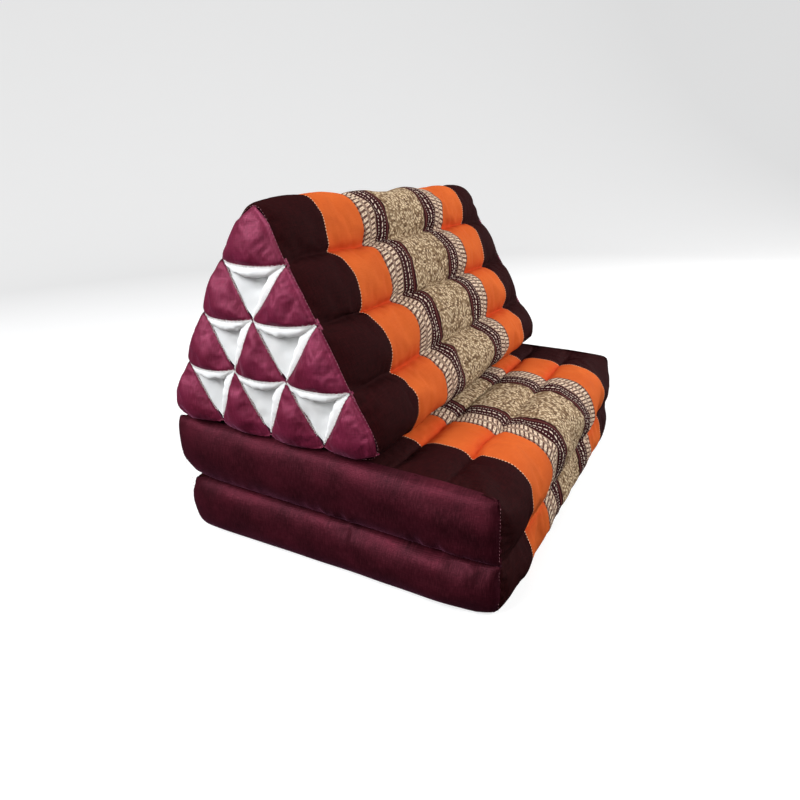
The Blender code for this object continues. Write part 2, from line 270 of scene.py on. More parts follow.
def corner_path(start, corner, end, roundness, steps=24):
    """Points and normals from start to end round a corner."""
    centre = start + end - corner
    first, last = unit_normal(start, corner), unit_normal(corner, end)
    angle = np.linspace(0, math.pi / 2, steps + 1)[:, None]
    c, s = np.clip(np.cos(angle), 0, 1), np.clip(np.sin(angle), 0, 1)
    points = centre + (corner - end) * c**roundness + (corner - start) * s**roundness
    normals = first * c * c + last * s * s
    return points, unit_rows(normals)


def swell(t):
    """Share of its full bulge that a roll has at t, from 0 at one crease to 1 at the next."""
    return np.clip(1 - np.abs(2 * t - 1) ** 2.2, 0, 1) ** 0.625


def roll(points, roundness, bulges, steps, lift=0.0):
    """One roll from crease to crease: points, the share of the way along, and the crease distance.

    bulges are its bulge near its start and near its end. lift makes the roll fuller towards its
    start (below 0) or its end (above 0).
    """
    if len(points) == 2:
        path = np.array(points)
        normals = np.array([unit_normal(*points)] * 2)
    else:
        starts = range(0, len(points) - 2, 2)
        turns = np.broadcast_to(roundness, (len(starts),))
        found = [corner_path(*points[i : i + 3], turn) for i, turn in zip(starts, turns)]
        path = np.concatenate([p[bool(i) :] for i, (p, _) in enumerate(found)])
        normals = np.concatenate([n[bool(i) :] for i, (_, n) in enumerate(found)])
    along = lengths_along(path)
    # Closer together at the creases
    t = np.linspace(0, 1, steps + 1)
    t = t - 0.09 * np.sin(2 * math.pi * t) * (len(points) == 2)
    where = t * along[-1]
    p = interpolated(where, along, path)
    n = unit_rows(interpolated(where, along, normals))
    skew = t + lift * np.sin(math.pi * t) ** 2
    bulge = (bulges[0] + (bulges[1] - bulges[0]) * t) * swell(skew)
    return (p + n * bulge[:, None])[:-1], t[:-1], (np.minimum(t, 1 - t) * along[-1])[:-1]


def straight_rolls(start, end, count, bulge, steps, lift=0.0):
    cuts = [start + (end - start) * i / count for i in range(count + 1)]
    return [roll([a, b], 1.0, (bulge, bulge), steps, lift) for a, b in zip(cuts, cuts[1:])]


def join_rolls(found):
    points = np.concatenate([f[0] for f in found])
    return points, np.concatenate([f[1] for f in found]), np.concatenate([f[2] for f in found])


def backrest_section(full):
    """Outline of the backrest, at its end seam or where its rolls are full."""
    corners = [FRONT_FOOT, BACK_FOOT, APEX]
    lifts = REST_LIFTS if full else (0.0, 0.0, 0.0)
    bulges = REST_BULGES if full else END_BULGES
    corner_bulges = (REST_BULGES[1],) * 3 if full else END_BULGES
    roundness = 0.60 if full else 0.28
    sides = []
    for i, side in enumerate(RIM):
        corner, after = corners[i], corners[(i + 1) % 3]
        inset = unit_normal(corner, after) * REST_CREASE
        cuts = [corner + (after - corner) * k / CELLS - inset for k in range(CELLS + 1)]
        sides.append([corner, *cuts[1:]] if full else [NODES[n] for n in side])
    found = []
    for i, cuts in enumerate(sides):
        around = (corner_bulges[i - 1], corner_bulges[i])
        found.append(roll([sides[i - 1][3], cuts[0], cuts[1]], roundness, around, 34))
        for a, b in zip(cuts[1:3], cuts[2:4]):
            found.append(roll([a, b], 1.0, (bulges[i], bulges[i]), 16, lifts[i]))
    return join_rolls(found)


def end_out(points):
    """How far the backrest's end stands out of its plane at (y, z) points."""
    corners = np.array([[*NODES[n], 1.0] for n in ((0, 0), (4, 0), (4, 4))]).T
    points = np.asarray(points, float)
    weights = np.linalg.solve(corners, np.concatenate([points, np.ones((len(points), 1))], axis=1).T)
    weights = np.clip(weights, 0, 1)
    # The product of the three weights is 1/27 in the middle
    return END_CROWN * 27 * weights.prod(axis=0) - APEX_DRAW * weights[0] ** 6


def seat_end_top(y):
    """Height of the seat mat's end seam along its top: lower at the front corner."""
    return fold_plane(y) + SEAT_END_RISE + SEAT_BACK_RISE * smooth((y - MAT_FRONT) / 0.10)


def seat_section(full):
    """Outline of the seat mat."""
    bulge = SEAT_BULGE if full else 0.0
    inset, flat_bulge = (FLAT_INSET, FLAT_BULGE) if full else (0.0006, 0.0)
    # The end seam is nearly square on top and cut off below at the back
    back_roundness, front_roundness = ((0.60, 0.48), 0.60) if full else ((0.50, 0.14), 0.14)
    first, last = MAT_FRONT + ROLL_PITCH, MAT_BACK - ROLL_PITCH

    def top(y):
        height = fold_plane(y) + SEAT_CREASE_RISE if full else seat_end_top(y)
        return np.array([y, height])

    def under(y):
        return np.array([y, fold_plane(y) + inset])

    pinch = np.array([MAT_FRONT, fold_plane(MAT_FRONT) + MAT_GAP])
    waist = np.array([MAT_BACK - SEAT_WAIST, fold_plane(MAT_BACK) + SEAT_END_RISE / 2])
    both = (bulge, bulge)
    tuck = np.array([MAT_BACK - SEAT_TUCK, fold_plane(MAT_BACK) + SEAT_TUCK])
    found = [roll([pinch, under(first)], 1.0, (flat_bulge / 2, flat_bulge / 2), 8)]
    found += straight_rolls(under(first), under(last), ROLLS - 2, flat_bulge, 8)
    found.append(roll([under(last), tuck, waist, top(MAT_BACK), top(last)], back_roundness, both, 38))
    found += straight_rolls(top(last), top(first), ROLLS - 2, bulge, 14)
    found.append(roll([top(first), top(MAT_FRONT), pinch], front_roundness, both, 32))
    return join_rolls(found)


def fold_section(full):
    """Outline of the lower mat."""
    bulge = FOLD_BULGE if full else 0.0
    inset, flat_bulge = (FLAT_INSET, FLAT_BULGE) if full else (0.0, 0.0)
    roundness = (0.26, 0.50) if full else (0.12, 0.30)
    toe_roundness = 0.4 if full else 0.25
    first, last = MAT_FRONT + ROLL_PITCH, MAT_BACK - ROLL_PITCH - FOLD_SETBACK
    front, back = MAT_FRONT - FOLD_TOE, MAT_BACK - FOLD_SETBACK
    both = (bulge, bulge)

    def top(y):
        return np.array([y, fold_plane(y) - MAT_GAP - inset])

    def under(y):
        return np.array([y, inset])

    pinch = np.array([MAT_FRONT, fold_plane(MAT_FRONT) - MAT_GAP])
    toe, heel = np.array([front, 0.0]), np.array([back - FOLD_HEEL, 0.0])
    shoulder = np.array([back - FOLD_SHOULDER, fold_plane(back) - FOLD_SHOULDER])
    waist = np.array([back, fold_plane(back) / 2])
    found = [roll([pinch, toe, under(first)], toe_roundness, both, 30)]
    found += straight_rolls(under(first), under(last), ROLLS - 2, flat_bulge, 8)
    found.append(roll([under(last), heel, waist, shoulder, top(last)], roundness, both, 34))
    found += straight_rolls(top(last), top(first), ROLLS - 2, flat_bulge, 8)
    found.append(roll([top(first), pinch], 1.0, (flat_bulge / 2, flat_bulge / 2), 8))
    return join_rolls(found)


# Meshes from grids of points


def new_piece(name, verts, faces, uvs, material):
    """A smooth mesh piece with a UV map in metres of cloth, riding on the body."""
    mesh = bpy.data.meshes.new(name)
    mesh.from_pydata([tuple(v) for v in verts], [], [tuple(int(i) for i in f) for f in faces])
    layer = mesh.uv_layers.new(name="cloth")
    order = np.zeros(len(mesh.loops), dtype=np.int32)
    mesh.loops.foreach_get("vertex_index", order)
    values = uvs(order) if callable(uvs) else np.asarray(uvs)[order]
    layer.data.foreach_set("uv", np.ascontiguousarray(values, dtype=np.float32).ravel())
    mesh.materials.append(material)
    mesh.shade_smooth()
    piece = bpy.data.objects.new(name, mesh)
    scene.collection.objects.link(piece)
    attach(piece, "root")
    return piece


def grid_faces(rows, columns, wrap=False, flip=False):
    """Quads of a grid of vertices, row by row; wrap joins the last column to the first."""
    faces = []
    for r in range(rows - 1):
        for c in range(columns if wrap else columns - 1):
            d = (c + 1) % columns
            quad = (r * columns + c, r * columns + d, (r + 1) * columns + d, (r + 1) * columns + c)
            faces.append(quad[::-1] if flip else quad)
    return faces


def coordinates(piece):
    found = np.zeros(len(piece.data.vertices) * 3)
    piece.data.vertices.foreach_get("co", found)
    return found.reshape(-1, 3)


def set_coordinates(piece, points):
    piece.data.vertices.foreach_set("co", np.ascontiguousarray(points, dtype=np.float32).ravel())
    piece.data.update()


# Swelling by cloth simulation: each piece is sewn down at some points and puffed between them

to_puff = []


def puff_later(piece, sewn, pressure, spare, cap, stiffness=12.0):
    """Marks a piece for the simulation. sewn is each point's hold, from 0 to 1."""
    group = piece.vertex_groups.new(name="sewn")
    for level in np.unique(np.round(sewn, 2)):
        if level > 0:
            members = np.nonzero(np.round(sewn, 2) == level)[0]
            group.add([int(i) for i in members], float(level), "REPLACE")
    to_puff.append((piece, pressure, spare, cap, stiffness))


def puff_all(frames=18):
    """Runs the cloth of all marked pieces together and keeps its result within each cap."""
    for piece, pressure, spare, _, stiffness in to_puff:
        cloth = piece.modifiers.new("cloth", "CLOTH")
        settings = cloth.settings
        settings.quality = 4
        settings.mass = 0.25
        settings.vertex_group_mass = "sewn"
        settings.pin_stiffness = 1.0
        settings.use_pressure = True
        settings.uniform_pressure_force = pressure
        settings.effector_weights.gravity = 0.0
        settings.tension_stiffness = stiffness
        settings.compression_stiffness = stiffness
        settings.shear_stiffness = stiffness * 0.5
        settings.bending_stiffness = 0.15
        settings.air_damping = 3.0
        settings.shrink_min = -spare
        cloth.collision_settings.use_collision = False
    for number in range(1, frames + 1):
        scene.frame_set(number)
    for piece, _, _, cap, _ in to_puff:
        before = coordinates(piece)
        settled = piece.evaluated_get(bpy.context.evaluated_depsgraph_get())
        after = np.zeros(len(before) * 3)
        settled.data.vertices.foreach_get("co", after)
        offset = after.reshape(-1, 3) - before
        far = np.linalg.norm(offset, axis=1)
        limit = cap * np.tanh(far / cap) / np.maximum(far, 1e-9)
        piece.modifiers.clear()
        set_coordinates(piece, before + offset * limit[:, None])
    scene.frame_set(1)
    for piece, *_ in to_puff:
        piece.vertex_groups.clear()


# Materials


class Nodes:
    """A material's node tree, with arithmetic on its sockets."""

    def __init__(self, name):
        self.material = bpy.data.materials.new(name)
        self.material.use_nodes = True
        self.tree = self.material.node_tree
        self.shader = self.tree.nodes["Principled BSDF"]

    def link(self, value, socket):
        if isinstance(value, bpy.types.NodeSocket):
            self.tree.links.new(value, socket)
        elif value is not None:
            socket.default_value = value

    def coat(self, colour, roughness, others=()):
        """Sets the shader's colour, its roughness and other sockets by name."""
        self.link(colour, self.shader.inputs["Base Color"])
        self.shader.inputs["Roughness"].default_value = roughness
        for name, value in dict(others).items():
            self.shader.inputs[name].default_value = value

    def math(self, operation, a, b=0.0):
        node = self.tree.nodes.new("ShaderNodeMath")
        node.operation = operation
        for value, socket in zip((a, b), node.inputs):
            self.link(value, socket)
        return node.outputs[0]

    def add(self, a, b):
        return self.math("ADD", a, b)

    def sub(self, a, b):
        return self.math("SUBTRACT", a, b)

    def mul(self, a, b):
        return self.math("MULTIPLY", a, b)

    def below(self, a, b):
        return self.math("LESS_THAN", a, b)

    def above(self, a, b):
        return self.math("GREATER_THAN", a, b)

    def wave(self, a, period, phase=0.0):
        """Triangle wave of a, from 0 at whole periods to 1 between them."""
        return self.mul(self.math("PINGPONG", self.add(a, phase), period / 2), 2 / period)

    def ramp(self, a, low, high):
        """0 where a is at low, 1 where it is at high, straight between."""
        node = self.tree.nodes.new("ShaderNodeMapRange")
        self.link(a, node.inputs["Value"])
        node.inputs["From Min"].default_value = low
        node.inputs["From Max"].default_value = high
        return node.outputs["Result"]

    def mix(self, factor, a, b):
        node = self.tree.nodes.new("ShaderNodeMix")
        node.data_type = "RGBA"
        self.link(factor, node.inputs["Factor"])
        for value, socket in ((a, node.inputs["A"]), (b, node.inputs["B"])):
            self.link((*value, 1.0) if isinstance(value, tuple) else value, socket)
        return node.outputs["Result"]

    def mapped(self, vector, stretch, turn=0.0):
        """A vector turned about Z and stretched."""
        node = self.tree.nodes.new("ShaderNodeMapping")
        node.inputs["Rotation"].default_value = (0.0, 0.0, turn)
        node.inputs["Scale"].default_value = stretch
        self.link(vector, node.inputs["Vector"])
        return node.outputs["Vector"]

    def noise(self, vector, scale, detail=2.0, stretch=None):
        if stretch:
            vector = self.mapped(vector, stretch)
        node = self.tree.nodes.new("ShaderNodeTexNoise")
        self.link(vector, node.inputs["Vector"])
        node.inputs["Scale"].default_value = scale
        node.inputs["Detail"].default_value = detail
        return node.outputs["Fac"]

    def cells(self, vector, scale, stretch, turn, randomness=1.0):
        """Loose cells: the distance from each cell's centre and the cell's random value."""
        node = self.tree.nodes.new("ShaderNodeTexVoronoi")
        node.voronoi_dimensions = "2D"
        self.link(self.mapped(vector, stretch, turn), node.inputs["Vector"])
        node.inputs["Scale"].default_value = scale
        node.inputs["Randomness"].default_value = randomness
        split = self.tree.nodes.new("ShaderNodeSeparateColor")
        self.link(node.outputs["Color"], split.inputs[0])
        return node.outputs["Distance"], split.outputs[0]

    def cloth_uv(self):
        """The cloth's own u and v in metres, and both as a vector."""
        node = self.tree.nodes.new("ShaderNodeUVMap")
        node.uv_map = "cloth"
        split = self.tree.nodes.new("ShaderNodeSeparateXYZ")
        self.link(node.outputs["UV"], split.inputs[0])
        return split.outputs["X"], split.outputs["Y"], node.outputs["UV"]

    def bump(self, height, strength, distance=0.001):
        node = self.tree.nodes.new("ShaderNodeBump")
        self.link(height, node.inputs["Height"])
        node.inputs["Strength"].default_value = strength
        node.inputs["Distance"].default_value = distance
        self.link(node.outputs["Normal"], self.shader.inputs["Normal"])

    def weave(self, u, v, pitch):
        """Height of a plain weave of threads this far apart."""
        return self.add(self.wave(u, pitch), self.wave(v, pitch))


def satin(name, low, high, gloss, sheen, specular):
    """Satin-faced cotton that changes a little between two colours, with a shot of purple."""
    n = Nodes(name)
    u, v, uv = n.cloth_uv()
    fibre = n.noise(uv, 900.0, 2.0, (1.0, 0.12, 1.0))
    slub = n.noise(uv, 900.0, 2.0, (0.12, 1.0, 1.0))
    patch = n.noise(uv, 24.0, 3.0)
    colour = n.mix(n.ramp(patch, 0.3, 0.7), low, high)
    pale = tuple(c * 1.5 + 0.010 for c in high)
    deep = tuple(c * 0.55 for c in low)
    colour = n.mix(n.mul(n.ramp(fibre, 0.45, 0.75), 0.5), colour, pale)
    colour = n.mix(n.mul(n.ramp(slub, 0.45, 0.8), 0.45), colour, deep)
    others = {
        "Metallic": gloss,
        "Specular IOR Level": specular,
        "Specular Tint": (1.0, 0.72, 0.95, 1.0),
        "Sheen Weight": sheen,
        "Sheen Roughness": 0.35,
        "Sheen Tint": (0.90, 0.30, 0.55, 1.0),
    }
    n.coat(colour, 0.50, others)
    height = n.add(n.mul(n.weave(u, v, 0.0011), 0.35), n.add(n.mul(fibre, 0.5), n.mul(slub, 0.5)))
    n.bump(height, 0.35, 0.0006)
    return n.material


def white_cloth(name, low, high):
    """Plain cotton between two near colours."""
    n = Nodes(name)
    u, v, uv = n.cloth_uv()
    fibre = n.noise(uv, 700.0, 2.0, (1.0, 0.15, 1.0))
    patch = n.noise(uv, 40.0, 3.0)
    colour = n.mix(n.ramp(patch, 0.3, 0.7), low, high)
    n.coat(colour, 0.85, {"Sheen Weight": 0.10})
    height = n.add(n.mul(n.weave(u, v, 0.0009), 0.4), fibre)
    n.bump(height, 0.25, 0.0005)
    return n.material


def dashes(n, across, place, half, along, pitch, phase, share):
    """1 on dashes that lie at a place across the cloth and repeat along it."""
    off = n.math("ABSOLUTE", n.sub(across, place))
    return n.mul(n.below(off, half), n.below(n.wave(along, pitch, phase), share))


def any_of(n, parts):
    """The largest of several masks."""
    total = parts[0]
    for part in parts[1:]:
        total = n.math("MAXIMUM", total, part)
    return total


def banded_cloth():
    """The woven cover: bands across the width, the same from both ends to the middle."""
    n = Nodes("woven_bands")
    u, v, uv = n.cloth_uv()
    wander = n.mul(n.sub(n.noise(uv, 60.0, 2.0), 0.5), 0.0012)
    end = n.sub(CLOTH_HALF, n.math("ABSOLUTE", n.add(u, wander)))
    patch = n.noise(uv, 22.0, 3.0)
    fibre_u = n.noise(uv, 800.0, 2.0, (1.0, 0.12, 1.0))
    fibre_v = n.noise(uv, 800.0, 2.0, (0.12, 1.0, 1.0))
    threads = n.mul(n.add(fibre_u, fibre_v), 0.5)

    # Plain ends, and the orange band with painted shade in its creases
    dark = n.mix(n.ramp(threads, 0.35, 0.65), (0.0124, 0.00096, 0.00128), (0.0264, 0.00208, 0.00272))
    orange = n.mix(n.ramp(patch, 0.3, 0.7), (0.552, 0.0998, 0.0187), (0.633, 0.127, 0.0249))
    orange = n.mix(n.mul(n.ramp(threads, 0.35, 0.65), 0.30), orange, (0.446, 0.0659, 0.0098))
    # Painted shade: the orange turns darker and redder in the creases between the rolls, by the crease
    # attribute that each cover carries
    crease = n.tree.nodes.new("ShaderNodeAttribute")
    crease.attribute_name = "crease"
    orange = n.mix(n.mul(crease.outputs["Fac"], 0.75), orange, (0.499, 0.0303, 0.00535))

    # Check band: rows of light knots, with dark notches between them and along the orange
    check_u = n.sub(end, CHECK_START)
    row = n.wave(n.add(v, n.mul(check_u, 0.30)), 0.0058)
    column = n.wave(n.sub(check_u, 0.0012), 0.0145)
    knot_grain, knot_value = n.cells(uv, 520.0, (1.0, 1.0, 1.0), 0.6)
    light = n.mix(n.ramp(knot_grain, 0.25, 0.65), (0.80, 0.665, 0.505), (0.55, 0.390, 0.270))
    light = n.mix(n.mul(n.ramp(knot_value, 0.80, 0.92), 0.7), light, (0.26, 0.13, 0.09))
    gap = n.mul(n.below(row, 0.44), n.above(column, 0.34))
    notch = n.mul(n.below(column, 0.36), n.above(row, 0.18))
    light = n.mix(n.mul(n.below(row, 0.26), 0.55), light, (0.20, 0.095, 0.065))
    slit = n.mul(n.above(row, 0.80), n.above(column, 0.90))
    teeth = n.mul(n.below(row, 0.56), n.below(check_u, 0.0030))
    check = n.mix(n.mul(any_of(n, [notch, slit]), 0.70), light, (0.085, 0.027, 0.020))
    border = n.above(check_u, 0.0292)
    check = n.mix(n.mul(any_of(n, [gap, border]), 0.88), check, (0.060, 0.014, 0.012))
    check = n.mix(n.mul(teeth, 0.94), check, (0.075, 0.010, 0.008))

    # Stripe band: faint ribs on dark cloth with painted shade in the grooves between them, and light
    # lines that are dashed by the weave
    stripe_u = n.sub(end, STRIPE_START)
    rib = n.wave(stripe_u, 0.0042)
    stripes = n.mix(n.ramp(threads, 0.3, 0.7), (0.028, 0.0030, 0.0048), (0.054, 0.0066, 0.0096))
    # Painted shade: the grooves between the ribs are darkened nearly to black
    stripes = n.mix(n.mul(n.below(rib, 0.36), 0.8), stripes, (0.007, 0.0014, 0.0019))
    slant = n.add(v, n.mul(stripe_u, 0.9))
    thin = n.below(n.math("ABSOLUTE", n.sub(stripe_u, 0.0252)), 0.0005)
    stripes = n.mix(n.mul(thin, 0.8), stripes, (0.20, 0.060, 0.045))
    outer = dashes(n, stripe_u, 0.0044, 0.00062, v, 0.0036, 0.0, 0.46)
    wide = dashes(n, stripe_u, 0.0126, 0.00115, slant, 0.0070, 0.0, 0.60)
    inner = dashes(n, stripe_u, 0.0200, 0.00062, v, 0.0036, 0.0018, 0.46)
    lines = any_of(n, [outer, wide, inner])
    stripes = n.mix(lines, stripes, (0.76, 0.64, 0.52))

    # Middle band: a grainy brocade of cream stitches, slanted one way and the other in diamonds
    diamond = 0.0168
    slanted = 0.7071 / diamond
    forth = n.math("FLOOR", n.mul(n.add(u, v), slanted))
    across = n.math("FLOOR", n.mul(n.sub(u, v), slanted))
    block = n.add(forth, across)
    odd = n.above(n.math("FLOORED_MODULO", block, 2.0), 0.5)
    grain_a, value_a = n.cells(uv, 300.0, (1.0, 0.60, 1.0), math.pi / 4, 0.75)
    grain_b, value_b = n.cells(uv, 300.0, (0.60, 1.0, 1.0), math.pi / 4, 0.75)
    grain = n.add(n.mul(odd, grain_a), n.mul(n.sub(1.0, odd), grain_b))
    value = n.add(n.mul(odd, value_a), n.mul(n.sub(1.0, odd), value_b))
    cream = n.mul(n.ramp(grain, 0.50, 0.16), n.ramp(value, 0.22, 0.50))
    middle = n.mix(n.ramp(threads, 0.3, 0.7), (0.205, 0.128, 0.0680), (0.285, 0.188, 0.1050))
    middle = n.mix(n.mul(cream, 0.92), middle, (0.74, 0.595, 0.400))
    sunk = n.mul(n.mul(n.below(value, 0.17), n.ramp(grain, 0.50, 0.35)), 0.85)
    gaps = n.mul(n.above(grain, 0.60), 0.50)
    middle = n.mix(any_of(n, [sunk, gaps]), middle, (0.080, 0.036, 0.022))

    colour = dark
    for start, band in (
        (ORANGE_START, orange),
        (CHECK_START, check),
        (STRIPE_START, stripes),
        (MIDDLE_START, middle),
    ):
        colour = n.mix(n.above(end, start), colour, band)
    # The pale picot edge between the dark cloth and the orange
    edge = dashes(n, end, ORANGE_START - 0.0002, 0.00065, v, 0.0031, 0.0, 0.50)
    colour = n.mix(edge, colour, (0.70, 0.40, 0.25))
    n.coat(colour, 0.82, {"Specular IOR Level": 0.06})
    woven = n.above(end, CHECK_START)
    in_stripes = n.mul(n.above(end, STRIPE_START), n.below(end, MIDDLE_START))
    height = n.add(n.mul(n.weave(u, v, 0.0012), 0.3), threads)
    height = n.add(height, n.mul(in_stripes, n.add(n.mul(rib, 0.9), n.mul(lines, 0.8))))
    height = n.sub(height, n.mul(n.mul(woven, n.sub(1.0, in_stripes)), n.mul(grain, 1.1)))
    n.bump(height, 0.55, 0.0010)
    return n.material


def thread(name, colour):
    """Twisted sewing thread."""
    n = Nodes(name)
    dark = tuple(c * 0.75 for c in colour)
    n.coat(n.mix(n.noise(None, 900.0, 1.0), dark, colour), 0.7)
    return n.material


banded = banded_cloth()
maroon = satin("maroon_satin", (0.138, 0.0088, 0.027), (0.192, 0.0158, 0.050), 0.28, 0.20, 0.36)
# The side panels' satin: a darker, more purple copy of the pads' maroon; its darkness is painted shade
# for the panels
shade_darkened_satin = satin("satin_painted_darker", (0.032, 0.0040, 0.0066), (0.084, 0.0090, 0.0180), 0.50, 0.09, 0.16)
white = white_cloth("white_cotton", (0.90, 0.91, 0.91), (0.95, 0.95, 0.94))
# The same white cotton painted greyer: painted shade for the sunken floors of the white triangles
shaded_white = white_cloth("white_cotton_painted_shade", (0.66, 0.67, 0.67), (0.71, 0.71, 0.70))
white_thread = thread("white_thread", (0.85, 0.84, 0.80))
pink_thread = thread("pink_thread", (0.34, 0.14, 0.16))

# Covers of the three filled bodies


def end_fade(depth, seam):
    """How full the rolls are at this depth from the end seam: at once at the ridge, softer elsewhere."""
    share = np.clip(depth / 0.048, 0, 1)[:, None]
    from_apex = np.linalg.norm(seam - NODES[0, 0], axis=1)[None, :]
    power = 0.68 - 0.20 * np.exp(-((from_apex / 0.04) ** 2))
    return np.sin(share * math.pi / 2) ** power


def stations(half):
    """Places along X, close together at the end seams."""
    near = [0.0, 0.0010, 0.0024, 0.0043, 0.0068, 0.0100, 0.0138, 0.0180, 0.0226, 0.0274, 0.0324]
    near = np.array(near)
    count = int(round((2 * half - 2 * near[-1]) / 0.0051))
    middle = np.linspace(-half + near[-1], half - near[-1], count + 1)[1:-1]
    return np.concatenate([-half + near, middle, (half - near)[::-1]])


def cover(name, section, half, limits, seed):
    """One filled body's cover, as a tube along X with its ends turned in.

    limits is a function of y that gives the lowest and highest z allowed.
    """
    seam, _, _ = section(False)
    full, share, crease = section(True)
    x = stations(half)
    depth = half - np.abs(x)
    # Hand-stuffed rolls differ a little, and their creases wander
    offset = full - seam
    around = lengths_along(full)
    xx, vv = np.meshgrid(x, around, indexing="ij")
    field = np.stack([xx, vv], axis=-1)
    tangent, normal = outline_frame(full)
    fade = end_fade(depth, seam)
    inner = smooth((depth - 0.004) / 0.06)[:, None]
    lump = ripple(field, seed, (0.110, 0.060)) * 0.0013 * inner
    wander = ripple(field, seed + 1, (0.090, 0.050)) * 0.0016 * inner
    # Puckers: short ridges that run away from a sewn crease, and from the end seam
    pinch = np.exp(-crease / 0.009)[None, :]
    pucker = ripple(np.stack([xx, vv * 0.15], axis=-1), seed + 2, 0.013) * 0.00075 * pinch * inner
    gather = ripple(np.stack([vv, xx * 0.2], axis=-1), seed + 3, 0.012)
    gather = gather * 0.0010 * np.exp(-depth / 0.018)[:, None] * smooth(depth / 0.004)[:, None]
    out = lump + pucker + gather
    y = seam[:, 0] + offset[:, 0] * fade + normal[:, 0] * out + tangent[:, 0] * wander
    z = seam[:, 1] + offset[:, 1] * fade + normal[:, 1] * out + tangent[:, 1] * wander
    # The backrest's end is crowned, so its cover stands out with it
    crown = end_out(seam)[None, :] * np.clip(1 - depth / 0.07, 0, 1)[:, None] ** 2
    points = np.stack([xx + np.sign(xx) * (crown if name == "backrest_cover" else 0), y, z], axis=-1)
    rows, columns = points.shape[:2]
    uv = np.stack([xx * CLOTH_HALF / half, vv], axis=-1).reshape(-1, 2)
    length = around[-1] + np.linalg.norm(full[0] - full[-1])

    def loop_uv(order):
        """The last column's far side is the whole way round, not the start again."""
        found = uv[order].copy()
        quads = found.reshape(-1, 4, 2)
        near_start = quads[:, :, 1] < length * 0.25
        torn = (quads[:, :, 1].max(axis=1) > length * 0.75)[:, None] & near_start
        quads[:, :, 1][torn] += length
        return quads.reshape(-1, 2)

    faces = grid_faces(rows, columns, wrap=True)
    piece = new_piece(name, points.reshape(-1, 3), faces, loop_uv, banded)
    # Painted shade: how near each point lies to a crease, which darkens and reddens the orange band
    # there
    painted_crease_shade = np.exp(-crease / 0.0075)[None, :] * smooth(depth / 0.03)[:, None]
    layer = piece.data.attributes.new("crease", "FLOAT", "POINT")
    layer.data.foreach_set("value", painted_crease_shade.ravel().astype(np.float32))
    held = np.exp(-crease / 0.0022)[None, :] * np.ones((rows, 1))
    held = np.maximum(held, np.exp(-depth / 0.003)[:, None])
    held[held < 0.06] = 0
    # Where the cover is pressed on the floor or on another body it is held back
    low, high = limits(y)
    pressed = np.where(np.minimum(z - low, high - z) < 0.0025, 0.5, 0.0)
    puff_later(piece, np.maximum(held, pressed).ravel(), 2.2, 0.025, 0.0045)
    return piece, limits


def rest_limits(y):
    return rest_plane(y) + 0.0004, np.full_like(y, np.inf)


def seat_limits(y):
    return fold_plane(y) + 0.0003, rest_plane(y) - 0.0002


def fold_limits(y):
    return np.zeros_like(y) + 0.0002, fold_plane(y) - 0.0003


covers = [
    cover("backrest_cover", backrest_section, REST_WIDTH / 2, rest_limits, 11),
    cover("seat_mat_cover", seat_section, MAT_WIDTH / 2, seat_limits, 23),
    cover("fold_mat_cover", fold_section, MAT_WIDTH / 2, fold_limits, 37),
]
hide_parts("backrest")
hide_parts("seat_mat")
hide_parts("fold_mat")

# Patchwork of the backrest's ends

END_SEAM = backrest_section(False)[0]

# Places along a white cell's rolls
ROLL_SHARES = np.linspace(0.02, 0.98, 45)


def triangle_grid(count):
    """Barycentric weights and faces of a triangle cut into count steps a side."""
    weights, index = [], {}
    for i in range(count + 1):
        for j in range(count + 1 - i):
            index[i, j] = len(weights)
            weights.append((1 - (i + j) / count, i / count, j / count))
    faces = []
    for i in range(count):
        for j in range(count - i):
            faces.append((index[i, j], index[i + 1, j], index[i, j + 1]))
            if i + j < count - 1:
                faces.append((index[i + 1, j], index[i + 1, j + 1], index[i, j + 1]))
    return np.array(weights), faces


def rise(distance, width, start, softness):
    """Height share at this distance from a seam that already stands at start.

    softness is 0.5 for a side that stands up off its seam and 1 for one that slopes away.
    """
    share = np.clip(distance / width, 0, 1)
    return start + (1 - start) * np.clip(1 - (1 - share) ** 2, 0, 1) ** softness


def pad_height(weights, row, column):
    """Height of a pad over the end's plane, from the weights of its top, back and front corners.

    The white cloth climbs up its back and bottom sides where they border a white cell.
    """
    top, back, front = weights.T * CELL_HEIGHT
    total = rise(front, PAD_FLANK, *((0.0, 0.5) if column == 1 else (PAD_FREE_BACK, 0.6)))
    total = total * rise(top, PAD_FLANK, *((0.0, 0.5) if row == CELLS else (PAD_FREE_BOTTOM, 0.6)))
    total = total * rise(back, PAD_FLANK, 0.0, 0.5 if column == row else 0.8)
    for k in range(3):
        total = total * smooth((1.0 - weights[:, k]) / 0.16) ** 0.6
    return PAD_HEIGHT * total


def dip(s):
    """How far the seam under a pad dips into the white cell below, at s along it."""
    return PAD_DIP * 4 * s * (1 - s)


def side_dip(s):
    """How far a white cell's side roll presses into the pad beside it, at s down along it."""
    return SIDE_DIP * np.sin(math.pi * np.clip(s, 0, 1) ** 1.5)


